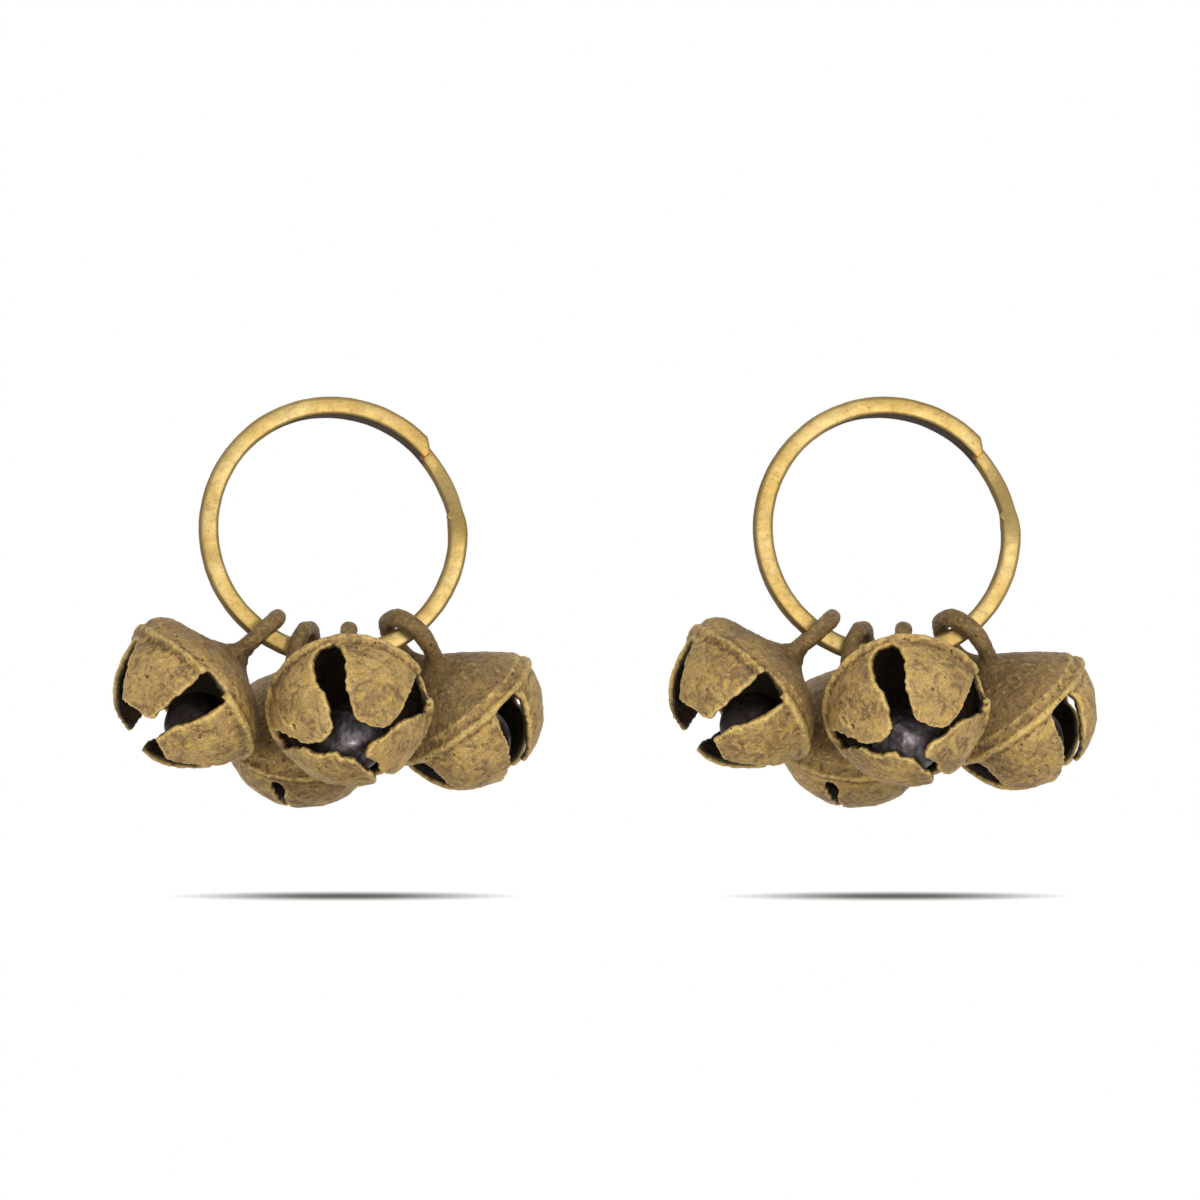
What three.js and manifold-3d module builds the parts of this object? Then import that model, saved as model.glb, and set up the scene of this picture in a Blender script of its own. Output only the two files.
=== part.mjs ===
// Finger bells: a pair of brass finger rings, each carrying four cast jaw bells with loose iron pellets.
// Millimetres, +Z up. The origin is the middle of the first ring's finger hole.
import * as THREE from 'three';
import { mergeVertices } from 'three/addons/utils/BufferGeometryUtils.js';
import Module from 'manifold-3d';

const wasm = await Module();
wasm.setup();

// Finger ring, bent from one strip with its ends lapped side by side
const ringBore = 19.6;
const stripThickness = 1.55; // across the finger
const stripWidth = 1.6; // along the finger
const stripCorner = 0.4; // rounding of the strip's edges
const cornerShare = 0.6; // the rounding's most, as a share of half the thickness, where the tips are thin
const tailThickness = 1.25; // the hidden end is drawn thinner
const lapGap = 0.2; // air between the lapped ends
const ringLean = 10; // degrees, top of the ring away from the front
const ringTurn = 9; // degrees, front of the ring towards +X
const frontEndAngle = 38; // degrees from +X, where the front end stops
const tailEndAngle = 122; // where the hidden end stops, behind the front one
const tailStartAngle = 10; // where the strip starts to thin and step back
const endTaper = 9; // degrees of ring over which each end is filed down
const endThickness = 0.55; // what the filing leaves at each tip
const stepBackLead = 18; // degrees before the thinning, where the strip starts to step back
const stepBackClear = 4.5; // degrees before the front end, where it has stepped back
const ringStep = 9.5; // degrees between sections

// Bell casting
const rimRadius = 7.0; // raised line round the widest part
const bowlRadius = 6.6; // round bowl below the rim, centred on the rim plane
const rimFade = 0.55; // the raised line has faded out this far below the rim plane
const rimTop = 0.33; // flat of the raised line, above the rim plane
const rimBottom = 0.17; // and below it
const shoulderHeight = 1.45; // edge of the crown above the rim plane
const shoulderInset = 0.5; // and how far it stands in from the raised line
const crownHeight = 5.1; // rim plane to the top of the crown
const crownFall = 0.1; // the top of the crown is this much lower at its edge
const neckRadius = 1.5; // top of the crown, under the eye
const filletReach = 2; // hollow curve from the neck to the crown's slope
const filletFall = 1.4;
const filletBow = 0.5; // how far out the curve's corner point lies
const wall = 0.65; // cast wall
const crownWall = 1.3; // thickness under the eye
const bellSides = 18;
const arcSteps = 3; // points along each curve of an outline

// Eye cast on the crown; the strip passes through it
const eyePlay = 0.9; // room between the strip's corner and the eye
const eyeThickness = 1.3;
const eyeWidth = 1.5;
const eyeSunk = 0.5; // how deep the eye runs into the crown
const eyeSides = 14;
const hangGap = 0.2; // air between the strip's corner and the top of the eye

// Four jaw slots from the mouth to just under the rim
const slotCount = 4;
const slotTop = 0.85; // below the rim plane
const slotWidth = 2.9; // round end near the rim
const slotWaist = 1.75;
const slotWaistDrop = 4.75; // waist below the rim plane
const slotMouth = 2.9; // where the slots meet under the bowl
const slotMouthRise = 0.45; // straight sides of the mouth, from the bottom of the bowl
const slotSteps = 4; // facets round the end near the rim

// Loose pellet
const pelletDiameter = 5.7;
const pelletLump = 0.045; // unevenness, as a share of its radius
const lumpWaves = 2.6; // how closely the lumps lie, in radians across the radius
const pelletGap = 0.3; // air between the pellet and the bowl at rest

// Second ring of the pair, to the right of the first
const pairSpacing = 46.5;

// Each bell's place on the ring: degrees round from the lowest point, swing about the strip, sideways tip
// and twist in the eye's play, and the turn of its slots. A bell that would lie nearer than restGap to one
// placed before it swings or slides outwards until it clears. A pellet rolls from the lowest point of its
// bowl towards the mouth by pelletRoll, and further where the crown would touch it.
const restGap = 0.3;
const openStep = 0.5;
const rollStep = 2;
const bellPlaces = [
  {
    name: 'back', round: -16, swing: 48.2, tip: -16.7, twist: -15,
    slotTurn: 88, swingOut: 1, slideOut: 0, pelletRoll: 0,
  },
  {
    name: 'front', round: 5.6, swing: -51.4, tip: 10.2, twist: 1.1,
    slotTurn: 78, swingOut: -1, slideOut: 0, pelletRoll: 0,
  },
  {
    name: 'left', round: -36.2, swing: -7.6, tip: 12.1, twist: 2.6,
    slotTurn: 9, swingOut: 0, slideOut: -1, pelletRoll: -15,
  },
  {
    name: 'right', round: 33.4, swing: 14.2, tip: -6.2, twist: 16,
    slotTurn: 4, swingOut: 0, slideOut: 1, pelletRoll: 25,
  },
];

// Sizes that follow from the ones above
const rad = THREE.MathUtils.degToRad;
const stripRadius = ringBore / 2 + stripThickness / 2;
const stripReach = Math.hypot(stripThickness, stripWidth) / 2 - stripCorner * (Math.SQRT2 - 1);
const eyeHole = stripReach + eyePlay;
const eyeRadius = eyeHole + eyeThickness / 2;
const eyeDrop = eyePlay - hangGap;
const rimDrop = eyeDrop + eyeHole + eyeThickness + crownHeight - eyeSunk;
const cavityRadius = bowlRadius - wall;
const pelletRadius = pelletDiameter / 2;
const pelletReach = pelletRadius * (1 + pelletLump);
const pelletThrow = cavityRadius - pelletReach - pelletGap;

const brass = new THREE.MeshStandardMaterial({ color: 0xd7b464, roughness: 0.35, metalness: 1 });
const castBrass = new THREE.MeshStandardMaterial({ color: 0x9e844b, roughness: 0.6, metalness: 1 });
const iron = new THREE.MeshStandardMaterial({ color: 0x4b4648, roughness: 0.7, metalness: 1 });

// Solids from closed geometry, and geometry from solids
function solidOf(geometry) {
  const bare = geometry.clone();
  bare.deleteAttribute('normal');
  bare.deleteAttribute('uv');
  const merged = mergeVertices(bare, 1e-4);
  const vertProperties = new Float32Array(merged.attributes.position.array);
  const triVerts = new Uint32Array(merged.index.array);
  return new wasm.Manifold(new wasm.Mesh({ numProp: 3, vertProperties, triVerts }));
}

function geometryOf(solid) {
  const mesh = solid.getMesh();
  const geometry = new THREE.BufferGeometry();
  geometry.setAttribute('position', new THREE.BufferAttribute(new Float32Array(mesh.vertProperties), 3));
  geometry.setIndex(new THREE.BufferAttribute(new Uint32Array(mesh.triVerts), 1));
  geometry.computeVertexNormals();
  return geometry;
}

// A skin over sections of equal point counts, closed at both ends
function loft(sections) {
  const count = sections[0].length;
  const points = sections.flat();
  const last = (sections.length - 1) * count;
  const index = [];
  for (let row = 0; row < sections.length - 1; row += 1) {
    for (let side = 0; side < count; side += 1) {
      const a = row * count + side;
      const b = row * count + (side + 1) % count;
      index.push(a, b, b + count, a, b + count, a + count);
    }
  }
  for (let side = 1; side < count - 1; side += 1) {
    index.push(0, side + 1, side, last, last + side, last + side + 1);
  }
  const geometry = new THREE.BufferGeometry().setFromPoints(points);
  geometry.setIndex(index);
  geometry.computeVertexNormals();
  return geometry;
}

// Finger ring in the XZ plane, round Y. The strip runs from its front end over the top, down the left,
// under and up the right, then steps back and passes behind its own front end.
function stripSection(thickness) {
  const halfOut = thickness / 2;
  const halfWide = stripWidth / 2;
  const corner = Math.min(stripCorner, halfOut * cornerShare);
  const corners = [[1, 1], [-1, 1], [-1, -1], [1, -1]];
  return corners.flatMap(([out, wide]) => {
    const flatSide = [out * halfOut, wide * (halfWide - corner)];
    const flatFace = [out * (halfOut - corner), wide * halfWide];
    return out * wide > 0 ? [flatSide, flatFace] : [flatFace, flatSide];
  });
}

function makeRing() {
  const turnEnd = 360 + tailEndAngle;
  const steps = Math.round((turnEnd - frontEndAngle) / ringStep);
  const thinningEnd = 360 + tailStartAngle;
  const stepBackStart = thinningEnd - stepBackLead;
  const stepBackEnd = 360 + frontEndAngle - stepBackClear;
  const sections = [];
  for (let step = 0; step <= steps; step += 1) {
    const angle = THREE.MathUtils.lerp(frontEndAngle, turnEnd, step / steps);
    const thinning = THREE.MathUtils.smoothstep(angle, thinningEnd - endTaper, thinningEnd);
    const full = THREE.MathUtils.lerp(stripThickness, tailThickness, thinning);
    const fromEnd = Math.min(angle - frontEndAngle, turnEnd - angle);
    const thickness = THREE.MathUtils.lerp(endThickness, full, Math.min(1, fromEnd / endTaper));
    const back = (stripWidth + lapGap) * THREE.MathUtils.smoothstep(angle, stepBackStart, stepBackEnd);
    sections.push(stripSection(thickness).map(([out, wide]) => {
      const reach = stripRadius + out;
      return new THREE.Vector3(reach * Math.cos(rad(angle)), back + wide, reach * Math.sin(rad(angle)));
    }));
  }
  return loft(sections);
}

// Slope of the crown, from the hollow curve under the eye to the edge above the raised line
const slopeTop = new THREE.Vector2(neckRadius + filletReach, crownHeight - filletFall);
const slopeEnd = new THREE.Vector2(rimRadius - shoulderInset, shoulderHeight);

// Bell outline of revolution from the top of the crown to the bottom of the bowl; z from the rim plane
function bellOutline() {
  const path = new THREE.Path();
  path.moveTo(0, crownHeight);
  path.lineTo(neckRadius, crownHeight - crownFall);
  path.quadraticCurveTo(neckRadius + filletBow, slopeTop.y + filletBow, slopeTop.x, slopeTop.y);
  path.lineTo(slopeEnd.x, slopeEnd.y);
  path.lineTo(rimRadius, rimTop);
  path.lineTo(rimRadius, -rimBottom);
  const bowlStart = Math.asin(rimFade / bowlRadius);
  path.absarc(0, 0, bowlRadius, -bowlStart, -Math.PI / 2, true);
  return path.getPoints(arcSteps);
}

// Hollow inside the bell: the bowl's sphere under a cone that follows the crown a wall away
function cavityOutline() {
  const slope = slopeEnd.clone().sub(slopeTop);
  const inwards = new THREE.Vector2(slope.y, -slope.x).setLength(wall);
  const path = new THREE.Path();
  path.moveTo(0, crownHeight - crownWall);
  path.lineTo(neckRadius - wall, crownHeight - crownWall);
  path.lineTo(slopeTop.x + inwards.x, slopeTop.y + inwards.y);
  path.lineTo(slopeEnd.x + inwards.x, slopeEnd.y + inwards.y);
  path.lineTo(cavityRadius, rimTop);
  path.absarc(0, 0, cavityRadius, 0, -Math.PI / 2, true);
  return path.getPoints(arcSteps);
}

const outside = bellOutline();
const hollow = cavityOutline();

// Lathe with its axis along Z; the outline runs from the top down
function revolve(outline, sides) {
  const geometry = new THREE.LatheGeometry(outline.slice().reverse(), sides);
  return geometry.rotateX(Math.PI / 2);
}

// One jaw slot as a bar along +X: round near the rim, drawn in at the waist, wide again at the mouth
function slotBar() {
  const shape = new THREE.Shape();
  shape.moveTo(slotMouth / 2, -bowlRadius - wall);
  shape.lineTo(slotMouth / 2, slotMouthRise - bowlRadius);
  shape.lineTo(slotWaist / 2, -slotWaistDrop);
  shape.absarc(0, -slotTop - slotWidth / 2, slotWidth / 2, 0, Math.PI, false);
  shape.lineTo(-slotWaist / 2, -slotWaistDrop);
  shape.lineTo(-slotMouth / 2, slotMouthRise - bowlRadius);
  shape.lineTo(-slotMouth / 2, -bowlRadius - wall);
  const pastAxis = slotWaist / 4;
  const depth = pastAxis + rimRadius + wall;
  const settings = { depth, bevelEnabled: false, curveSegments: slotSteps };
  const bar = new THREE.ExtrudeGeometry(shape, settings).translate(0, 0, -pastAxis);
  const alongX = new THREE.Matrix4().makeBasis(
    new THREE.Vector3(0, 1, 0),
    new THREE.Vector3(0, 0, 1),
    new THREE.Vector3(1, 0, 0),
  );
  return bar.applyMatrix4(alongX);
}

// Eye as a rounded strap bent to a ring round X
function eyeRing() {
  const section = new THREE.Path();
  section.absellipse(eyeRadius, 0, eyeThickness / 2, eyeWidth / 2, 0, 2 * Math.PI, false);
  const outline = section.getPoints(arcSteps);
  return new THREE.LatheGeometry(outline, eyeSides).rotateZ(Math.PI / 2);
}

// One casting, hung from the middle of the strip at its own origin
function makeBell(slotTurn) {
  let bell = solidOf(revolve(outside, bellSides)).subtract(solidOf(revolve(hollow, bellSides)));
  for (let slot = 0; slot < slotCount; slot += 1) {
    const turn = rad(slotTurn + slot * 360 / slotCount);
    bell = bell.subtract(solidOf(slotBar().rotateZ(turn)));
  }
  const eye = solidOf(eyeRing().translate(0, 0, rimDrop - eyeDrop));
  return geometryOf(bell.add(eye)).translate(0, 0, -rimDrop);
}

// Loose pellet, a ball with a few low lumps
function makePellet(seed) {
  const ball = new THREE.IcosahedronGeometry(pelletRadius, 1);
  ball.deleteAttribute('normal');
  ball.deleteAttribute('uv');
  const geometry = mergeVertices(ball, 1e-4);
  const point = new THREE.Vector3();
  for (let i = 0; i < geometry.attributes.position.count; i += 1) {
    point.fromBufferAttribute(geometry.attributes.position, i);
    const wave = point.clone().multiplyScalar(lumpWaves / pelletRadius);
    const lump = (Math.sin(wave.x + seed) + Math.cos(wave.y - seed) + Math.sin(wave.z + 2 * seed)) / 3;
    point.multiplyScalar(1 + pelletLump * lump);
    geometry.attributes.position.setXYZ(i, point.x, point.y, point.z);
  }
  geometry.computeVertexNormals();
  return geometry;
}

// Distance from a point to an outline of revolution, negative inside
function outlineDistance(outline, radius, height) {
  const here = new THREE.Vector3(radius, height, 0);
  const nearest = new THREE.Vector3();
  let least = Infinity;
  let inside = false;
  for (let i = 0; i < outline.length - 1; i += 1) {
    const a = outline[i];
    const b = outline[i + 1];
    const edge = new THREE.Line3(new THREE.Vector3(a.x, a.y, 0), new THREE.Vector3(b.x, b.y, 0));
    edge.closestPointToPoint(here, true, nearest);
    least = Math.min(least, nearest.distanceTo(here));
    const crosses = (a.y > height) !== (b.y > height);
    if (crosses && radius < a.x + (b.x - a.x) * (height - a.y) / (b.y - a.y)) inside = !inside;
  }
  return inside ? -least : least;
}

// Least air between two hung bells: the first one's points against the second one's outline
function airBetween(points, first, second) {
  const toSecond = second.matrixWorld.clone().invert().multiply(first.matrixWorld);
  const point = new THREE.Vector3();
  let least = Infinity;
  for (let i = 0; i < points.count; i += 1) {
    point.fromBufferAttribute(points, i).applyMatrix4(toSecond);
    least = Math.min(least, outlineDistance(outside, Math.hypot(point.x, point.y), point.z + rimDrop));
  }
  return least;
}

function airAround(bell, placed) {
  return Math.min(Infinity, ...placed.map((other) => Math.min(
    airBetween(bell.geometry.attributes.position, bell, other),
    airBetween(other.geometry.attributes.position, other, bell),
  )));
}

// Where a pellet lies: lowest point of the bowl, or rolled from there towards the mouth
function pelletPlace(bell, startRoll) {
  const toBell = bell.getWorldQuaternion(new THREE.Quaternion()).invert();
  const down = new THREE.Vector3(0, 0, -1).applyQuaternion(toBell);
  const mouth = new THREE.Vector3(0, 0, -1);
  const rollAxis = new THREE.Vector3().crossVectors(down, mouth).normalize();
  const place = new THREE.Vector3();
  let roll = startRoll;
  do {
    place.copy(down).applyAxisAngle(rollAxis, rad(roll)).multiplyScalar(pelletThrow);
    roll += rollStep;
  } while (outlineDistance(hollow, Math.hypot(place.x, place.y), place.z) > -pelletReach);
  return place.add(new THREE.Vector3(0, 0, -rimDrop));
}

// One ring with its four bells and their pellets
function makeSet(letter) {
  const set = new THREE.Group();
  const leaning = new THREE.Group();
  leaning.rotation.set(rad(-ringLean), 0, rad(ringTurn), 'ZYX');
  set.add(leaning);
  const ring = new THREE.Mesh(makeRing(), brass);
  ring.name = `ring_${letter}`;
  leaning.add(ring);
  const placed = [];
  bellPlaces.forEach((place, number) => {
    const hanger = new THREE.Group();
    leaning.add(hanger);
    const bell = new THREE.Mesh(makeBell(place.slotTurn), castBrass);
    bell.name = `bell_${letter}_${place.name}`;
    bell.position.z = -stripRadius;
    hanger.add(bell);
    let opened = 0;
    do {
      hanger.rotation.y = rad(-place.round - place.slideOut * opened);
      bell.rotation.set(rad(place.swing + place.swingOut * opened), rad(place.tip), rad(place.twist));
      set.updateMatrixWorld(true);
      opened += openStep;
    } while (airAround(bell, placed) < restGap);
    placed.push(bell);
    const pellet = new THREE.Mesh(makePellet(number + 1), iron);
    pellet.name = `pellet_${letter}_${place.name}`;
    pellet.position.copy(pelletPlace(bell, place.pelletRoll));
    bell.add(pellet);
  });
  return set;
}

const pair = new THREE.Group();
['a', 'b'].forEach((letter, number) => {
  const set = makeSet(letter);
  set.position.x = number * pairSpacing;
  pair.add(set);
});
pair.updateMatrixWorld(true);

export default pair;
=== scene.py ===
import math

import bpy
import numpy as np
from mathutils import Matrix, Vector, noise


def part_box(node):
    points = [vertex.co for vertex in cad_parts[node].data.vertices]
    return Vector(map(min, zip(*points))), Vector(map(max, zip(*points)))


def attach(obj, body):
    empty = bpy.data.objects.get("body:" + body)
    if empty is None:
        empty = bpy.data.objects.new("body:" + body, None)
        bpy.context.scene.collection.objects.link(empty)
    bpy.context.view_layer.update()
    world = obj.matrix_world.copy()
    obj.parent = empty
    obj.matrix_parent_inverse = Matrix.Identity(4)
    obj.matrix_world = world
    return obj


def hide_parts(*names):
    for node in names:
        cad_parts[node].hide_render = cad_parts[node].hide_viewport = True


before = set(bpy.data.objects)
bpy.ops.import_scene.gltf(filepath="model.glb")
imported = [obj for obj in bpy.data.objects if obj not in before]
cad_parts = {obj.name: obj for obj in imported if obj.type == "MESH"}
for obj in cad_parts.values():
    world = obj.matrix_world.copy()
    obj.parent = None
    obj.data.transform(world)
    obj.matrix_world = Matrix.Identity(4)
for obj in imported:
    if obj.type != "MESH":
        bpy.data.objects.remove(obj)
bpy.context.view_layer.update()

# Finger bells: two brass finger rings, each threaded with four cast jaw bells that hold an iron pellet.
# Each piece is modelled in millimetres round its own middle and then set into the frame, in metres.
metre = 0.001
print("frame loaded:", len(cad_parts), "nodes")


# camera: the photographed view, from far off and a little above

camera = {
    "middle": (22.4, 0, -5.8),  # mm, what lies in the middle of the picture
    "width": 100.8,  # mm across the picture at that place
    "distance": 1400,
    "elevation": 2,  # degrees
    "sensor": 36,
    "clip": (0.1, 20),  # metres
}


def addCamera(look):
    rise = math.radians(look["elevation"])
    away = Vector((0, -math.cos(rise), math.sin(rise))) * look["distance"]
    bpy.ops.object.camera_add(location=(Vector(look["middle"]) + away) * metre)
    made = bpy.context.object
    made.rotation_euler = (math.pi / 2 - rise, 0, 0)
    made.data.sensor_width = look["sensor"]
    made.data.lens = look["sensor"] * look["distance"] / look["width"]
    made.data.clip_start, made.data.clip_end = look["clip"]
    bpy.context.scene.camera = made


bpy.ops.object.select_all(action="DESELECT")
addCamera(camera)
print("camera set")


# helpers for modelling by operators

smoothing = 0.5  # how far one round of smoothing takes a point towards its neighbours' middle
cloudDepth = 2  # levels of detail in a cloud texture


def objectMode():
    if bpy.context.object and bpy.context.object.mode != "OBJECT":
        bpy.ops.object.mode_set(mode="OBJECT")


def deselectAll():
    objectMode()
    bpy.ops.object.select_all(action="DESELECT")


def choose(piece):
    deselectAll()
    piece.select_set(True)
    bpy.context.view_layer.objects.active = piece


def editAll(piece):
    choose(piece)
    bpy.ops.object.mode_set(mode="EDIT")
    bpy.ops.mesh.select_all(action="SELECT")


def pickVertices(piece, wanted):
    choose(piece)
    for part in (piece.data.edges, piece.data.polygons):
        part.foreach_set("select", [False] * len(part))
    piece.data.vertices.foreach_set("select", wanted)
    bpy.ops.object.mode_set(mode="EDIT")


def tidyNormals(piece, joinWithin):
    editAll(piece)
    bpy.ops.mesh.remove_doubles(threshold=joinWithin)
    bpy.ops.mesh.normals_make_consistent(inside=False)
    objectMode()


def modify(piece, kind, **settings):
    choose(piece)
    modifier = piece.modifiers.new(kind.lower(), kind)
    for name, value in settings.items():
        setattr(modifier, name, value)
    bpy.ops.object.modifier_apply(modifier=modifier.name)


def roughen(piece, relief, name):
    size, height = relief[name]
    texture = bpy.data.textures.new(name, "CLOUDS")
    texture.noise_scale = size
    texture.noise_depth = cloudDepth
    modify(piece, "DISPLACE", texture=texture, texture_coords="LOCAL", strength=height, mid_level=0.5)


def vertexValues(piece, name):
    flat = np.empty(len(piece.data.vertices) * 3)
    piece.data.vertices.foreach_get(name, flat)
    return flat.reshape(-1, 3)


def markPoints(piece, name, values):
    mark = piece.data.attributes.new(name, "FLOAT", "POINT")
    mark.data.foreach_set("value", values)


def markWear(piece, rounds):
    # how far each point stands out from the smoothed shape, in mm: edges above nought, hollows below
    smooth = copyPiece(piece)
    modify(smooth, "SMOOTH", factor=smoothing, iterations=rounds)
    proud = vertexValues(piece, "co") - vertexValues(smooth, "co")
    markPoints(piece, "wear", (proud * vertexValues(piece, "normal")).sum(axis=1))
    bpy.data.objects.remove(smooth)


def applyPlace(piece, place):
    choose(piece)
    piece.matrix_world = place
    bpy.ops.object.transform_apply(location=True, rotation=True, scale=True)


def copyPiece(piece):
    made = piece.copy()
    made.data = piece.data.copy()
    bpy.context.collection.objects.link(made)
    return made


def dress(piece, node, material):
    piece.data.materials.clear()
    piece.data.materials.append(material)
    choose(piece)
    bpy.ops.object.shade_smooth()
    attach(piece, node)
    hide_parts(node)


def smoothStep(value, low, high):
    share = min(1, max(0, (value - low) / (high - low)))
    return share * share * (3 - 2 * share)


def mix(low, high, share):
    return low + (high - low) * share


# shader wires: a socket that takes part in Python expressions

class Wire:
    def __init__(self, tree, socket=None):
        self.tree = tree
        self.socket = socket

    def node(self, kind, inputs=None, output=0, **settings):
        made = self.tree.nodes.new(kind)
        for name, value in settings.items():
            setattr(made, name, value)
        for name, value in (inputs or {}).items():
            if isinstance(value, Wire):
                self.tree.links.new(value.socket, made.inputs[name])
            else:
                made.inputs[name].default_value = value
        return Wire(self.tree, made.outputs[output]) if made.outputs else None

    def maths(self, operation, first, second):
        return self.node("ShaderNodeMath", {0: first, 1: second}, operation=operation)

    def __add__(self, other):
        return self.maths("ADD", self, other)

    def __radd__(self, other):
        return self.maths("ADD", other, self)

    def __sub__(self, other):
        return self.maths("SUBTRACT", self, other)

    def __rsub__(self, other):
        return self.maths("SUBTRACT", other, self)

    def __mul__(self, other):
        return self.maths("MULTIPLY", self, other)

    def __rmul__(self, other):
        return self.maths("MULTIPLY", other, self)

    def between(self, low, high):
        return self.node("ShaderNodeMapRange", {"Value": self, "From Min": low, "From Max": high},
                         interpolation_type="SMOOTHSTEP")

    def blend(self, first, second):
        # the colour sockets of a Mix node are 6 and 7, and its colour result is 2
        inputs = {"Factor": self, 6: first, 7: second}
        return self.node("ShaderNodeMix", inputs, output=2, data_type="RGBA")


def colour(red, green, blue):
    def linear(value):
        share = value / 255
        return share / 12.92 if share <= 0.04045 else ((share + 0.055) / 1.055) ** 2.4
    return (linear(red), linear(green), linear(blue), 1)


def grey(value):
    return (value, value, value, 1)


def named(colours):
    return {name: colour(*values) for name, values in colours.items()}


def newMaterial(name):
    material = bpy.data.materials.new(name)
    material.use_nodes = True
    material.node_tree.nodes.clear()
    return material, Wire(material.node_tree)


def ownPlace(wire):
    return wire.node("ShaderNodeTexCoord", output="Object")


def grain(wire, size, detail=4, roughness=0.55, distortion=0):
    return wire.node("ShaderNodeTexNoise", {
        "Vector": ownPlace(wire), "Scale": 1 / (size * metre), "Detail": detail,
        "Roughness": roughness, "Distortion": distortion,
    })


def attribute(wire, name):
    # an attribute's plain number is the third result of its node
    return wire.node("ShaderNodeAttribute", output=2, attribute_name=name)


def finishMaterial(wire, finish, tone, rough, relief):
    bump = wire.node("ShaderNodeBump", {
        "Height": relief, "Strength": 1, "Distance": finish["bump"] * metre,
    })
    shader = wire.node("ShaderNodeBsdfPrincipled", {
        "Base Color": tone, "Roughness": rough, "Metallic": finish["metal"], "Normal": bump,
    })
    wire.node("ShaderNodeOutputMaterial", {"Surface": shader})


# finger ring: one strip, drawn straight, then bent round with its ends lapped

ring = {
    "bore": 19.6,
    "thick": 1.55,
    "wide": 1.6,
    "corner": 0.34,
    "cornerSteps": 4,
    "tailThick": 1.25,
    "lapGap": 0.2,
    "lean": 10,  # degrees, top away from the front
    "turn": 9,  # degrees, front towards the right
    "frontEnd": 38,  # degrees from the right hand side
    "tailEnd": 482,  # once round and on behind the front end
    "thinFrom": 361,
    "thinTo": 370,
    "backFrom": 352,  # where the strip starts to step back
    "backTo": 393.5,
    "frontFiled": 6,  # degrees filed off at the front end, from outside
    "frontTip": 0.8,
    "tailFiled": 9,
    "tailTip": 0.5,
    "burrAt": 367,  # where a burr stands on the inner edge
    "burr": 0.28,
    "step": 1.5,  # degrees between sections
    "join": 0.001,  # points nearer than this become one
    "lapShadowFade": 0.06,  # radians over which the painted shadow inside the lap fades
    "tipStain": (0.005, 0.05),  # radians from the front end
    "waves": (3.5, 0.07),  # mm between and high
    "dents": (0.9, 0.04),
    "wearRounds": 6,
    "spacing": 46.5,  # from the first ring to the second
}
ringRadius = (ring["bore"] + ring["thick"]) / 2
setLetters = "ab"  # the two sets of the pair


def stripThickness(angle):
    thin = smoothStep(angle, ring["thinFrom"], ring["thinTo"])
    full = mix(ring["thick"], ring["tailThick"], thin)
    front = min(1, (angle - ring["frontEnd"]) / ring["frontFiled"])
    tail = min(1, (ring["tailEnd"] - angle) / ring["tailFiled"])
    return min(mix(ring["frontTip"], full, front), mix(ring["tailTip"], full, tail))


def stripInset(angle):
    # the front end is filed on its outer side only, so its middle moves inwards
    front = min(1, (angle - ring["frontEnd"]) / ring["frontFiled"])
    return (ring["thick"] - ring["frontTip"]) / 2 * (1 - front)


def stepBack(angle):
    return (ring["wide"] + ring["lapGap"]) * smoothStep(angle, ring["backFrom"], ring["backTo"])


def ringPlace():
    turn = Matrix.Rotation(math.radians(ring["turn"]), 4, "Z")
    return turn @ Matrix.Rotation(math.radians(-ring["lean"]), 4, "X")


def raiseBurr(strip, along):
    places = vertexValues(strip, "co")
    near = np.abs(places[:, 0] - along) < ring["burr"]
    inner = places[:, 1] > ring["tailThick"] / 2 - ring["corner"] / 2
    pickVertices(strip, near & inner & (places[:, 2] > 0))
    bpy.ops.transform.translate(value=(0, ring["burr"], 0))
    objectMode()


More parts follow.
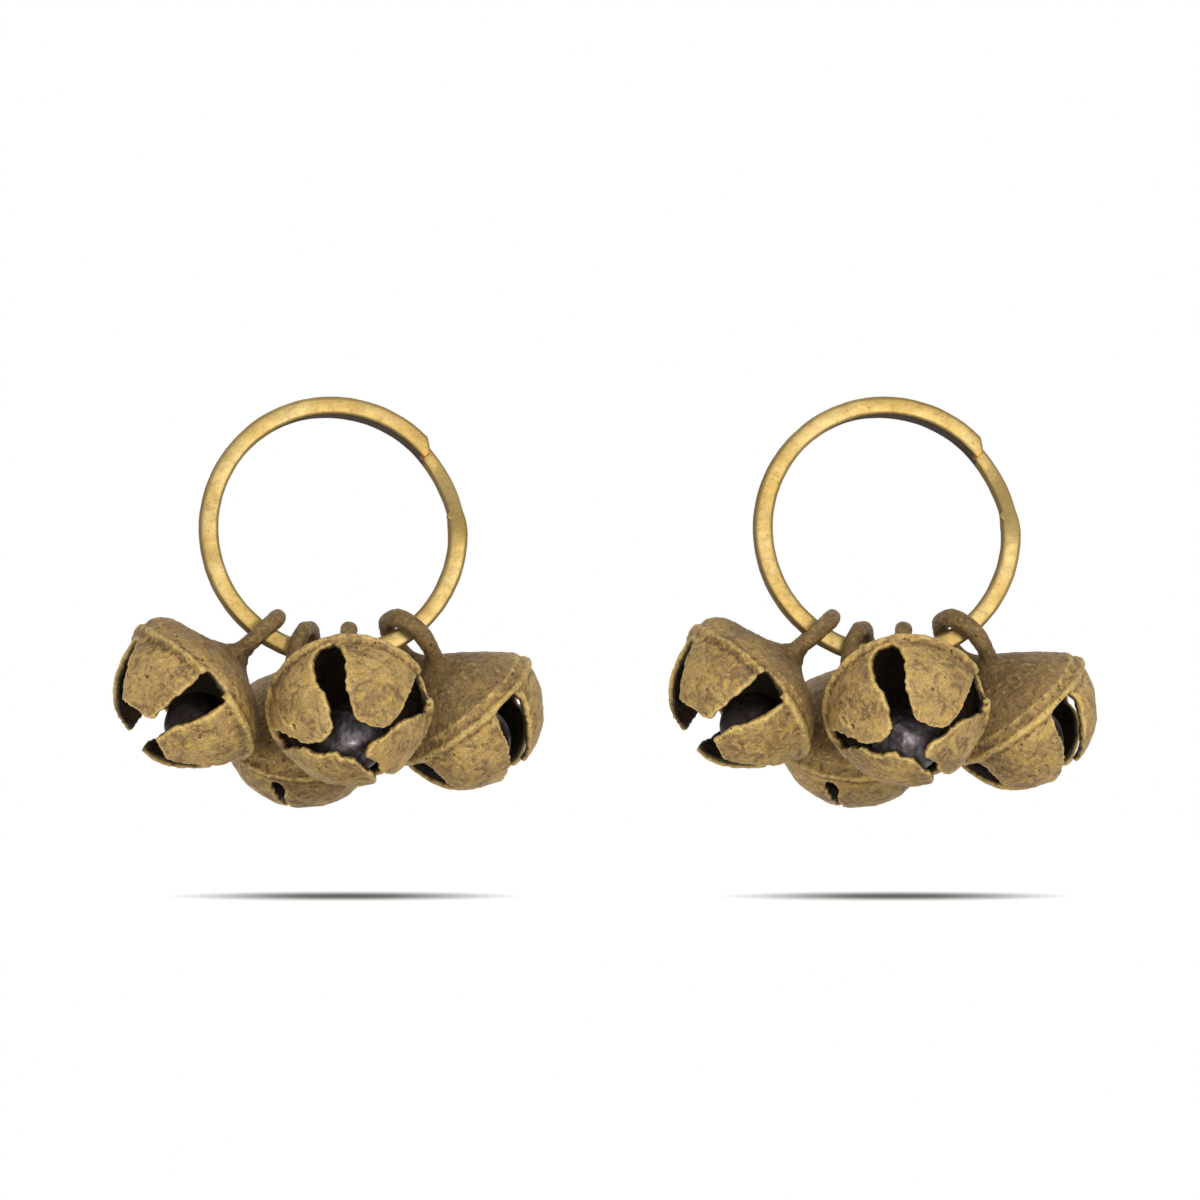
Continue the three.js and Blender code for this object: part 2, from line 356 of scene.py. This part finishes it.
def makeRing():
    deselectAll()
    bpy.ops.mesh.primitive_plane_add(size=1, rotation=(0, math.pi / 2, 0))
    strip = bpy.context.object
    bpy.ops.object.transform_apply(location=True, rotation=True, scale=True)
    editAll(strip)
    bpy.ops.transform.resize(value=(1, ring["thick"], ring["wide"]))
    bpy.ops.mesh.bevel(offset=ring["corner"], segments=ring["cornerSteps"], affect="VERTICES")
    bpy.ops.mesh.select_all(action="SELECT")
    turn = ring["tailEnd"] - ring["frontEnd"]
    steps = round(turn / ring["step"])
    stride = math.radians(turn) * ringRadius / steps
    thickness, inset, back = ring["thick"], 0, 0
    for step in range(steps + 1):
        angle = ring["frontEnd"] + turn * step / steps
        move = (stride if step else 0, stripInset(angle) - inset, back - stepBack(angle))
        if step:
            bpy.ops.mesh.extrude_region_move(TRANSFORM_OT_translate={"value": move})
        else:
            bpy.ops.transform.translate(value=move)
        inset, back = stripInset(angle), stepBack(angle)
        wanted = stripThickness(angle)
        bpy.ops.transform.resize(value=(1, wanted / thickness, 1),
                                 center_override=(step * stride, inset, -back))
        thickness = wanted
    tidyNormals(strip, ring["join"])
    raiseBurr(strip, math.radians(ring["burrAt"] - ring["frontEnd"]) * ringRadius)
    markPoints(strip, "along", vertexValues(strip, "co")[:, 0] / ringRadius)
    modify(strip, "SIMPLE_DEFORM", deform_method="BEND", deform_axis="Z", angle=math.radians(turn))
    middle = Matrix.Translation((0, -ringRadius, 0))
    startTurn = Matrix.Rotation(math.radians(ring["frontEnd"] + 90), 4, "Z")
    upright = Matrix.Rotation(math.pi / 2, 4, "X")
    applyPlace(strip, ringPlace() @ upright @ startTurn @ middle)
    editAll(strip)
    bpy.ops.mesh.subdivide(number_cuts=1, smoothness=0)
    objectMode()
    roughen(strip, ring, "waves")
    roughen(strip, ring, "dents")
    markWear(strip, ring["wearRounds"])
    axis = np.array(ringPlace().col[1][:3])
    normals = vertexValues(strip, "normal")
    outward = vertexValues(strip, "co")
    outward -= np.outer(outward @ axis, axis)
    outward /= np.linalg.norm(outward, axis=1)[:, None]
    markPoints(strip, "facing", np.abs(normals @ axis))
    markPoints(strip, "inward", -(normals * outward).sum(axis=1))
    return strip


# bell casting: a turned shell with slots between its petals, and an eye on its crown

bell = {
    "bowlRadius": 6.6,
    # ridge, from its upper side down to the bowl
    "rim": [
        (6.5, 0.76), (6.64, 0.54), (6.96, 0.36), (7.06, 0.14),
        (6.95, -0.08), (6.64, -0.26), (6.54, -0.46),
    ],
    "shoulder": (6.4, 1.2),
    "slopeTop": (3.5, 3.7),
    "slopeBow": (5.3, 2.75),
    "neck": (2.0, 4.85),
    "neckBow": (2.5, 4.25),
    "boss": (1.25, 5.6),  # under the eye
    "bossMiddle": 0.02,  # the outline stops short of the axis
    "curveRows": (5, 6, 8),  # along the boss, the neck and the slope
    "bowlLead": 2,  # degrees from the ridge to the first row of the bowl
    "bowlEnd": 89.8,  # degrees below the rim plane
    "wall": 0.6,
    "rowStep": 0.13,  # between the rows of faces
    "rowLeast": 0.6,  # a point nearer than this share of a step is left out
    "join": 0.002,
    "cutBelow": 1,  # no slot reaches higher above the rim plane
    "spinSteps": 320,
    "bowlRows": 80,
    "eyeRise": 7.75,  # eye's middle above the rim plane
    "eyeRadius": 2.56,
    "eyeThick": 1.42,
    "eyeWide": 1.66,
    "eyeSides": (64, 24),  # round the eye and round its section
    # casting fillet under the eye
    "foot": {"low": 3.9, "high": 5.75, "wide": 2.7, "narrow": 1.9, "flat": 0.6, "sides": 64},
    "eyeSoftening": 40,
    "eyeFrom": 3.4,
    "rimDrop": 8.448,  # strip's middle to the rim plane
    "voxel": 0.12,
    "softening": 3,
    "wander": ((0.15, 1.7), (0.1, 0.6), (0.07, 0.28)),  # mm of wander of an edge, and its length
    "tipWander": 7,  # degrees
    "swell": (5.5, 0.36),  # mm between and high
    "lumps": (1.25, 0.22),
    "pits": (0.45, 0.11),
    "wearRounds": 15,
    "crownLean": 0.8,  # depth under the crown's slope for each mm inwards
}

# Each bell: its place on the ring in degrees (round it, swing, tip and twist), and its slots.
# A slot's edges are given as degrees below the rim plane with the turns of its two sides; tip is the
# end of the petal that follows it, how far that falls short at its sides, and how blunt it is.
bellLooks = {
    "back": {
        "place": (-16, 48.2, -16.7, -15), "seed": 11, "ragged": 1, "crownBow": 0, "bulges": [],
        "slots": [
            {"edges": [(5, -6, 2), (10, -14, 10), (45, -12, 8), (75, -18, 14)], "tip": (80, 8, 4)},
            {"edges": [(5, 84, 92), (10, 76, 100), (45, 78, 98), (75, 72, 104)], "tip": (78, 8, 4)},
            {"edges": [(5, 174, 182), (10, 166, 190), (45, 168, 188), (75, 162, 194)], "tip": (80, 8, 4)},
            {"edges": [(8, 267, 271), (13, 265, 274), (34, 266, 274), (75, 265, 275)], "tip": (78, 8, 4)},
        ],
        "cracks": [],
    },
    "front": {
        "place": (5.6, -51.4, 10.2, 1.1), "seed": 23, "ragged": 1.5, "crownBow": 0, "bulges": [],
        "slots": [
            {"edges": [(6, 60, 70), (20, 54, 70), (40, 50, 64), (51, 48, 62), (64, 40, 60), (75, 34, 70)],
             "tip": (80, 6, 4)},
            {"edges": [(2, 155, 162), (7, 150, 166), (15, 150, 170), (37, 162, 177), (51, 167, 178),
                       (57, 162, 179), (68, 154, 188)], "tip": (70, 8, 3)},
            {"edges": [(3, 250, 256), (8, 242, 262), (15, 239, 267), (37, 239, 265), (55, 242, 270),
                       (68, 230, 280)], "tip": (68, 11, 2.5)},
            {"edges": [(-6, 340, 350), (-2, 331, 355), (4, 329, 361), (11, 328, 357), (24, 328, 351),
                       (42, 331, 343), (56, 334, 342), (68, 328, 348)], "tip": (76, 10, 3)},
        ],
        "cracks": [{"turn": 191, "from": 30, "to": 46, "wide": 0.32}],
    },
    "left": {
        "place": (-36.2, -7.6, 12.1, 2.6), "seed": 37, "ragged": 0.7, "crownBow": 0.3,
        "bulges": [{"at": (-14.6, -4.8, -8.4), "shift": (0.1, 0, 1.05), "reach": 4.2}],
        "slots": [
            {"edges": [(5, -3, 10), (17, -9, 30), (24, -14, 36), (42, -23, 52), (57, -29, 80)],
             "tip": (53, 6, 2)},
            {"edges": [(4, 87, 99), (9, 81, 107), (45, 84, 107), (70, 80, 110)], "tip": (52, 10, 2)},
            {"edges": [(6, 178, 186), (12, 173, 195), (24, 170, 199), (34, 171, 202), (42, 169, 202),
                       (60, 164, 205)], "tip": (54, 8, 4)},
            {"edges": [(-6, 268, 274), (-3, 264, 286), (3, 263, 291), (12, 263, 291), (24, 262, 289),
                       (34, 261, 285), (48, 258, 281), (64, 254, 284)], "tip": (64, 8, 4)},
        ],
        "cracks": [],
    },
    "right": {
        "place": (33.4, 14.2, -6.2, 16), "seed": 53, "ragged": 0.6, "crownBow": -0.75, "bulges": [],
        "slots": [
            {"edges": [(5, -2, 8), (12, -9, 16), (29, -9, 19), (36, -11, 12), (60, -14, 6), (78, -16, 8)],
             "tip": (80, 8, 4)},
            {"edges": [(5, 87, 95), (10, 79, 103), (45, 81, 101), (78, 78, 104)], "tip": (79, 8, 4)},
            {"edges": [(1, 166, 176), (4, 158, 189), (10, 156, 194), (21, 158, 191), (33, 160, 186),
                       (44, 161, 187), (70, 156, 198)], "tip": (80, 18, 2)},
            {"edges": [(-1, 268, 277), (2, 262, 285), (11, 258, 290), (17, 257, 288), (26, 256, 285),
                       (36, 254, 282), (47, 251, 280), (61, 238, 286), (71, 210, 296)],
             "tip": (77, 20, 1.3)},
        ],
        "cracks": [],
    },
}


def curve(start, bow, end, count):
    for step in range(1, count + 1):
        share = step / count
        yield tuple((1 - share) ** 2 * a + 2 * share * (1 - share) * b + share ** 2 * c
                    for a, b, c in zip(start, bow, end))


def bellOutline(look):
    bowX, bowZ = bell["slopeBow"]
    bossRadius, bossTop = bell["boss"]
    bossRows, neckRows, slopeRows = bell["curveRows"]
    start = math.asin(-bell["rim"][-1][1] / bell["bowlRadius"]) + math.radians(bell["bowlLead"])
    points = [(bell["bossMiddle"], bossTop), bell["boss"]]
    points += curve(bell["boss"], (bossRadius, bell["neck"][1]), bell["neck"], bossRows)
    points += curve(bell["neck"], bell["neckBow"], bell["slopeTop"], neckRows)
    points += curve(bell["slopeTop"], (bowX, bowZ + look["crownBow"]), bell["shoulder"], slopeRows)
    points += bell["rim"]
    for row in range(1, bell["bowlRows"] + 1):
        fall = mix(start, math.radians(bell["bowlEnd"]), row / bell["bowlRows"])
        points.append((bell["bowlRadius"] * math.cos(fall), -bell["bowlRadius"] * math.sin(fall)))
    return evenly(points, bell["rowStep"])


def evenly(points, step):
    spaced = [points[0]]
    for point in points[1:]:
        first = spaced[-1]
        length = math.dist(first, point)
        if length < step * bell["rowLeast"] and point != points[-1]:
            continue
        count = max(1, round(length / step))
        for number in range(1, count + 1):
            spaced.append(tuple(mix(a, b, number / count) for a, b in zip(first, point)))
    return spaced


def angleBetween(first, second):
    return (first - second + 180) % 360 - 180


def wander(point, seed):
    shift = Vector((seed, -seed, seed * 0.5))
    return sum(height * noise.noise(point / length + shift) for height, length in bell["wander"])


def slotSides(slot, fall):
    edges = slot["edges"]
    for number, ((low, lowFrom, lowTo), (high, highFrom, highTo)) in enumerate(zip(edges, edges[1:])):
        if fall <= high or number == len(edges) - 2:
            share = max(0, min(1, (fall - low) / (high - low)))
            if number == 0:
                share = math.sqrt(share * (2 - share))  # round at the rim
            return mix(lowFrom, highFrom, share), mix(lowTo, highTo, share)


def isOpen(look, point):
    around = math.degrees(math.atan2(point.y, point.x))
    fall = math.degrees(math.asin(max(-1, min(1, -point.z / point.length))))
    degree = math.radians(1) * bell["bowlRadius"] * math.cos(math.radians(fall))  # mm
    shift = wander(point, look["seed"]) * look["ragged"]
    middles = []
    for slot in look["slots"]:
        side, otherSide = slotSides(slot, fall)
        middle = (side + otherSide) / 2
        middles.append(middle)
        spare = (otherSide - side) / 2 - abs(angleBetween(around, middle))
        if fall > slot["edges"][0][0] + shift / degree and spare * degree > shift:
            return True
    for crack in look["cracks"]:
        spare = crack["wide"] / 2 - abs(angleBetween(around, crack["turn"])) * degree
        if crack["from"] < fall < crack["to"] and spare > shift:
            return True
    for number, slot in enumerate(look["slots"]):
        width = (middles[(number + 1) % len(middles)] - middles[number]) % 360
        share = ((around - middles[number]) % 360) / width
        if share <= 1:
            end, short, blunt = slot["tip"]
            return fall > end - short * abs(2 * share - 1) ** blunt + bell["tipWander"] * shift
    return False


def cutSlots(shell, look):
    choose(shell)
    bpy.context.tool_settings.mesh_select_mode = (False, False, True)
    for part in (shell.data.vertices, shell.data.edges):
        part.foreach_set("select", [False] * len(part))
    for face in shell.data.polygons:
        face.select = face.center.z < bell["cutBelow"] and isOpen(look, face.center)
    bpy.ops.object.mode_set(mode="EDIT")
    bpy.ops.mesh.delete(type="FACE")
    objectMode()
    bpy.context.tool_settings.mesh_select_mode = (True, False, False)


def turnShell(outline):
    deselectAll()
    bpy.ops.mesh.primitive_plane_add(size=1)
    shell = bpy.context.object
    editAll(shell)
    bpy.ops.mesh.merge(type="CENTER")
    bpy.ops.transform.translate(value=(outline[0][0], 0, outline[0][1]))
    for start, end in zip(outline, outline[1:]):
        move = (end[0] - start[0], 0, end[1] - start[1])
        bpy.ops.mesh.extrude_vertices_move(TRANSFORM_OT_translate={"value": move})
    bpy.ops.mesh.select_all(action="SELECT")
    bpy.ops.mesh.spin(steps=bell["spinSteps"], angle=2 * math.pi, center=(0, 0, 0), axis=(0, 0, 1))
    tidyNormals(shell, bell["join"])
    return shell


def addEye(shell):
    around, section = bell["eyeSides"]
    deselectAll()
    bpy.ops.mesh.primitive_torus_add(
        major_radius=bell["eyeRadius"], minor_radius=bell["eyeThick"] / 2,
        major_segments=around, minor_segments=section,
        location=(0, 0, bell["eyeRise"]), rotation=(0, math.pi / 2, 0),
    )
    eye = bpy.context.object
    bpy.ops.object.transform_apply(location=True, rotation=True, scale=True)
    editAll(eye)
    bpy.ops.transform.resize(value=(bell["eyeWide"] / bell["eyeThick"], 1, 1),
                             center_override=(0, 0, bell["eyeRise"]))
    foot = bell["foot"]
    deselectAll()
    bpy.ops.mesh.primitive_cone_add(
        vertices=foot["sides"], radius1=foot["wide"], radius2=foot["narrow"],
        depth=foot["high"] - foot["low"], location=(0, 0, (foot["high"] + foot["low"]) / 2),
        scale=(foot["flat"], 1, 1),
    )
    base = bpy.context.object
    bpy.ops.object.transform_apply(location=True, rotation=True, scale=True)
    choose(shell)
    eye.select_set(True)
    base.select_set(True)
    bpy.ops.object.join()


def softenEye(casting):
    pickVertices(casting, vertexValues(casting, "co")[:, 2] > bell["eyeFrom"])
    bpy.ops.mesh.vertices_smooth(factor=smoothing, repeat=bell["eyeSoftening"])
    objectMode()


def pushOut(casting, at, shift, reach):
    away = np.linalg.norm(vertexValues(casting, "co") - np.array(at), axis=1)
    pickVertices(casting, away <= away.min())
    bpy.ops.transform.translate(value=shift, use_proportional_edit=True,
                                proportional_edit_falloff="SMOOTH", proportional_size=reach)
    objectMode()


def outerRadius(outline, height):
    for (r0, z0), (r1, z1) in zip(outline, outline[1:]):
        if z1 <= height <= z0 and z0 > z1:
            return mix(r1, r0, (height - z1) / (z0 - z1))
    return 0


def markDepth(casting, outline):
    # how deep each point lies under the outer skin, in mm, and how high above the rim plane
    depths = []
    for vertex in casting.data.vertices:
        place = vertex.co
        if place.z < 0:
            depth = bell["bowlRadius"] - place.length
        elif place.z < bell["neck"][1]:
            depth = bell["crownLean"] * (outerRadius(outline, place.z) - math.hypot(place.x, place.y))
        else:
            depth = 0
        depths.append(depth)
    markPoints(casting, "depth", depths)
    markPoints(casting, "height", vertexValues(casting, "co")[:, 2])


def bellPlace(look):
    around, swing, tip, twist = (math.radians(angle) for angle in look["place"])
    hang = ringPlace() @ Matrix.Rotation(-around, 4, "Y") @ Matrix.Translation((0, 0, -ringRadius))
    turn = Matrix.Rotation(swing, 4, "X") @ Matrix.Rotation(tip, 4, "Y") @ Matrix.Rotation(twist, 4, "Z")
    return hang @ turn @ Matrix.Translation((0, 0, -bell["rimDrop"]))


def makeBell(look):
    outline = bellOutline(look)
    casting = turnShell(outline)
    cutSlots(casting, look)
    modify(casting, "SOLIDIFY", thickness=bell["wall"], offset=-1)
    addEye(casting)
    modify(casting, "REMESH", mode="VOXEL", voxel_size=bell["voxel"])
    modify(casting, "SMOOTH", factor=smoothing, iterations=bell["softening"])
    softenEye(casting)
    markDepth(casting, outline)
    applyPlace(casting, bellPlace(look))
    for bulge in look["bulges"]:
        pushOut(casting, **bulge)
    for name in ("swell", "lumps", "pits"):
        roughen(casting, bell, name)
    markWear(casting, bell["wearRounds"])
    return casting


# pellet: a lumpy iron ball

pellet = {
    "diameter": 5.7,
    "subdivisions": 6,
    "lumps": (2.4, 0.3),  # mm between and high
    "pits": (0.5, 0.08),
    "litAndRubbed": {"back": 0.2, "front": 1, "left": 0, "right": 0.4},  # how far each pellet is painted as lit and rubbed: the front one lit, the left one in painted shade deep in its bell
}


def makePellet(side):
    low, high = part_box("pellet_a_" + side)
    middle = (low + high) / 2 / metre
    deselectAll()
    bpy.ops.mesh.primitive_ico_sphere_add(radius=pellet["diameter"] / 2,
                                          subdivisions=pellet["subdivisions"], location=middle)
    ball = bpy.context.object
    bpy.ops.object.transform_apply(location=True, rotation=True, scale=True)
    roughen(ball, pellet, "lumps")
    roughen(ball, pellet, "pits")
    markPoints(ball, "litAndRubbed", [pellet["litAndRubbed"][side]] * len(ball.data.vertices))
    return ball


# finishes: sizes of grain in mm, colours as red, green and blue up to 255

ringFinish = {
    "broad": (5, 3),  # size, detail, roughness and distortion of a grain
    "fine": (0.8, 6, 0.62),
    "specks": (0.3, 3),
    "metal": 0.92,
    "bump": 0.04,  # mm
    "shades": {
        "brass": (146, 121, 68),
        "pale": (157, 136, 88),
        "worn": (128, 104, 60),
        "speck": (110, 86, 48),
        # the next two: painted shade on the strip's narrow sides, and a darker painted shadow on the
        # inside of the lap
        "side": (126, 101, 58),
        "lapShadow": (58, 38, 24),
        "stain": (178, 118, 50),
        "hollow": (84, 62, 36),
    },
}


def ringBrass():
    material, wire = newMaterial("ringBrass")
    shades = named(ringFinish["shades"])
    broad, fine, specks = (grain(wire, *ringFinish[name]) for name in ("broad", "fine", "specks"))
    # the broad faces are smoother and keep their lit tone; the narrow sides take painted shade
    litPolishedFaces = attribute(wire, "facing").between(0.2, 0.75)
    along = attribute(wire, "along")
    lapEnd = math.radians(ring["tailEnd"] - ring["frontEnd"] - 360)
    lapShadowFade, onceRound = ring["lapShadowFade"], 2 * math.pi
    lapped = 1 - along.between(lapEnd - lapShadowFade, lapEnd) + along.between(onceRound - lapShadowFade, onceRound)
    lapped = lapped * attribute(wire, "inward").between(0.1, 0.6)
    wear = attribute(wire, "wear")
    tone = broad.between(0.35, 0.65).blend(shades["brass"], shades["pale"])
    tone = (fine.between(0.5, 0.7) * 0.5).blend(tone, shades["worn"])
    tone = (specks.between(0.62, 0.72) * 0.6).blend(tone, shades["speck"])
    # painted shade on the narrow sides, darkest as painted shadow where the strip lies inside the lap
    sides = lapped.blend(shades["side"], shades["lapShadow"])
    tone = litPolishedFaces.blend(sides, tone)
    tone = ((1 - along.between(*ring["tipStain"])) * 0.6).blend(tone, shades["stain"])
    tone = ((1 - wear.between(-0.03, -0.005)) * 0.6).blend(tone, shades["hollow"])
    rough = 0.66 - 0.24 * litPolishedFaces + 0.14 * fine
    finishMaterial(wire, ringFinish, tone, rough, fine * 0.5 + specks * 0.5)
    return material


def pinholes(wire, size):
    near = wire.node("ShaderNodeTexVoronoi", {"Vector": ownPlace(wire), "Scale": 1 / (size * metre)})
    return (1 - near.between(0.1, 0.2)) * grain(wire, 2.5 * size, 2).between(0.45, 0.6)


castFinish = {
    "broad": (4.5, 3),
    "blotch": (1.1, 5, 0.6, 1.2),
    "mottle": (0.5, 4, 0.62, 0.9),
    "fine": (0.18, 4, 0.65),
    "pinholes": 0.75,  # mm between them
    "metal": 0.65,
    "bump": 0.36,
    "shades": {
        "dull": (146, 117, 70),
        "light": (181, 151, 93),
        "golden": (194, 159, 85),
        "brown": (98, 76, 46),
        "greyed": (148, 124, 98),
        # the next two: browner patina on the crown and neck, darkened further as painted shade where the
        # bells crowd together
        "crown": (114, 89, 57),
        "neck": (84, 63, 38),
        "sand": (88, 66, 40),
        # raised points: rubbed brass, partly a painted highlight
        "edge": (211, 180, 106),
        "hollow": (66, 50, 27),
        "hole": (46, 33, 20),
        # inner wall: dark oxide, deepened as painted shade inside the bowl
        "inside": (46, 34, 21),
    },
}


def castBrass():
    material, wire = newMaterial("castBrass")
    shades = named(castFinish["shades"])
    grains = ("broad", "blotch", "mottle", "fine")
    broad, blotch, mottle, fine = (grain(wire, *castFinish[name]) for name in grains)
    holes = pinholes(wire, castFinish["pinholes"])
    inside = attribute(wire, "depth").between(0.16, 0.45)
    height = attribute(wire, "height")
    wear = attribute(wire, "wear")
    tone = broad.between(0.35, 0.65).blend(shades["dull"], shades["light"])
    tone = (blotch.between(0.5, 0.64) * 0.7).blend(tone, shades["golden"])
    tone = ((1 - blotch.between(0.36, 0.5)) * 0.65).blend(tone, shades["brown"])
    tone = (mottle.between(0.52, 0.64) * 0.5).blend(tone, shades["greyed"])
    # crown and neck darker: partly browner patina, partly painted shade where the bells crowd together
    tone = (height.between(-0.3, 2.4) * 0.5).blend(tone, shades["crown"])
    tone = (height.between(1.5, 5.5) * 0.5).blend(tone, shades["neck"])
    tone = (fine.between(0.55, 0.68) * 0.5).blend(tone, shades["sand"])
    # raised points lighter: rubbed brass, partly a painted highlight
    litAndRubbed = wear.between(0.003, 0.04) * (0.65 - 0.45 * height.between(4.5, 6))  # less on the eye
    tone = litAndRubbed.blend(tone, shades["edge"])
    tone = ((1 - wear.between(-0.035, -0.002)) * 0.75).blend(tone, shades["hollow"])
    tone = (holes * 0.85).blend(tone, shades["hole"])
    # the inner wall darkened: partly dark oxide, partly painted shade inside the bowl
    tone = (inside * 0.95).blend(tone, shades["inside"])
    rough = 0.42 + 0.26 * mottle - 0.16 * wear.between(0, 0.04)
    relief = blotch * 0.35 + mottle * 0.45 + fine * 0.35 - holes * 0.25
    finishMaterial(wire, castFinish, tone, rough, relief)
    return material


pelletFinish = {
    "blotch": (2.2, 5, 0.6, 1.2),
    "fine": (0.3, 4),
    "metal": 0.85,
    "bump": 0.1,
    "shades": {
        # the first two colour pellets painted as in shade, the next two pellets painted as lit, and the
        # fifth is a painted glint
        "shadedIronDark": (40, 31, 28),
        "shadedIronLight": (58, 48, 44),
        "litRubbedDark": (66, 57, 56),
        "litRubbedLight": (112, 104, 106),
        "paintedGlint": (168, 164, 166),
        "pit": (48, 38, 36),
    },
}


def pelletIron():
    material, wire = newMaterial("pelletIron")
    shades = named(pelletFinish["shades"])
    blotch, fine = (grain(wire, *pelletFinish[name]) for name in ("blotch", "fine"))
    litAndRubbed = attribute(wire, "litAndRubbed")
    blotched = blotch.between(0.4, 0.6)
    # the same iron painted in shade, and below painted as lit
    dull = blotched.blend(shades["shadedIronDark"], shades["shadedIronLight"])
    litIron = blotched.blend(shades["litRubbedDark"], shades["litRubbedLight"])
    # painted glint streaks on the lit iron
    litIron = (blotch.between(0.56, 0.66) * 0.8).blend(litIron, shades["paintedGlint"])
    # each pellet between its shaded and its lit copy of the iron, as painted light
    tone = litAndRubbed.blend(dull, litIron)
    tone = (fine.between(0.56, 0.72) * 0.6).blend(tone, shades["pit"])
    rough = 0.46 + 0.2 * fine
    finishMaterial(wire, pelletFinish, tone, rough, blotch * 0.6 + fine * 0.4)
    return material


finishes = {"ring": ringBrass(), "bell": castBrass(), "pellet": pelletIron()}
print("finishes made")


# build one set, copy it for the first ring and move it itself to the second

def nodeName(key, letter):
    return f"ring_{letter}" if key == "ring" else f"{key[0]}_{letter}_{key[1]}"


pieces = {"ring": (makeRing(), "ring_brass", finishes["ring"])}
print("ring made")
for side, look in bellLooks.items():
    pieces["bell", side] = (makeBell(look), "cast_brass", finishes["bell"])
    pieces["pellet", side] = (makePellet(side), "pellet_iron", finishes["pellet"])
    print(side, "bell made:", len(pieces["bell", side][0].data.polygons), "faces")
for number, letter in enumerate(setLetters):
    shift = Matrix.Translation((number * ring["spacing"] * metre, 0, 0))
    for key, (piece, slotName, material) in pieces.items():
        node = nodeName(key, letter)
        made = piece if letter == setLetters[-1] else copyPiece(piece)
        made.name = node + ".look"
        applyPlace(made, shift @ Matrix.Scale(metre, 4))
        dress(made, node, material)
print("both sets placed")


# floor, background and light

stage = {
    "floor": -30.7,  # mm
    "floorSize": 6000,
    "near": (40, 95),  # mm in front of and behind the rings, where the plain lit floor ends
    "glow": 0.68,  # what the lit floor needs to look white
    "shade": (19, 10.5),  # mm, half the length and depth of the painted shadow on the floor under a set
    "shadeMiddle": 0.9,  # mm to the right of a ring's middle
    "shadeFade": (0.1, 1),  # from where the shade is full to its edge
    "shadeTone": 0.3,
    "floorTone": 0.9,
    "ambient": 0.46,  # the white world's light on what is not seen straight or in a mirror
    "aim": (23, 0, -10),  # where each lamp points
}
lamps = [
    {"name": "overhead", "place": (23, 0, 420), "size": 150, "power": 0.06},
    {"name": "key", "place": (190, -450, 55), "size": 160, "power": 1.5},
    {"name": "fill", "place": (-170, -440, 35), "size": 130, "power": 0.55},
]


def lightPathSeen(wire):
    names = ("Is Camera Ray", "Is Glossy Ray", "Is Transmission Ray")
    rays = [wire.node("ShaderNodeLightPath", output=name) for name in names]
    return rays[0] + rays[1] + rays[2]


def addStage():
    deselectAll()
    bpy.ops.mesh.primitive_plane_add(size=stage["floorSize"] * metre,
                                     location=(0, 0, stage["floor"] * metre))
    floor = bpy.context.object
    floor.name = "floor"
    bpy.ops.object.transform_apply(location=True, rotation=True, scale=True)
    material, wire = newMaterial("paleFloor")
    seen = lightPathSeen(wire)
    where = ownPlace(wire)
    along = wire.node("ShaderNodeSeparateXYZ", {"Vector": where}, output=0)
    away = wire.node("ShaderNodeSeparateXYZ", {"Vector": where}, output=1)
    low, high = (edge * metre for edge in stage["near"])
    far = wire.maths("ABSOLUTE", away, 0).between(low, high)
    # a painted shadow under each set: the floor there is darker and does not glow
    length, depth = (half * metre for half in stage["shade"])
    lit = 1
    for number in range(len(setLetters)):
        across = (along - (stage["shadeMiddle"] + number * ring["spacing"]) * metre) * (1 / length)
        deep = away * (1 / depth)
        out = wire.maths("SQRT", across * across + deep * deep, 0)
        lit = lit * out.between(*stage["shadeFade"])
    pale = lit.blend(grey(stage["shadeTone"]), grey(stage["floorTone"]))
    gleam = lit.blend(grey(0), grey(1))
    plain = wire.node("ShaderNodeBsdfDiffuse", {"Color": pale})
    glow = wire.node("ShaderNodeEmission", {"Color": gleam, "Strength": stage["glow"]})
    both = wire.node("ShaderNodeAddShader", {0: plain, 1: glow})
    near = wire.node("ShaderNodeMixShader", {0: seen, 1: plain, 2: both})
    white = wire.node("ShaderNodeEmission", {"Color": grey(1), "Strength": 1})
    shader = wire.node("ShaderNodeMixShader", {0: seen * far, 1: near, 2: white})
    wire.node("ShaderNodeOutputMaterial", {"Surface": shader})
    floor.data.materials.append(material)


def addWorld():
    world = bpy.data.worlds.new("studio")
    world.use_nodes = True
    world.node_tree.nodes.clear()
    wire = Wire(world.node_tree)
    seen = lightPathSeen(wire)
    strength = stage["ambient"] + (1 - stage["ambient"]) * seen
    light = wire.node("ShaderNodeBackground", {"Color": grey(1), "Strength": strength})
    wire.node("ShaderNodeOutputWorld", {"Surface": light})
    bpy.context.scene.world = world


def addLamp(name, place, size, power):
    bpy.ops.object.light_add(type="AREA", location=Vector(place) * metre)
    lamp = bpy.context.object
    lamp.name = name
    lamp.data.size = size * metre
    lamp.data.energy = power
    lamp.rotation_euler = (Vector(stage["aim"]) - Vector(place)).to_track_quat("-Z", "Y").to_euler()


addStage()
addWorld()
for lamp in lamps:
    addLamp(**lamp)
print("stage lit")

bpy.context.scene.view_settings.view_transform = "Standard"
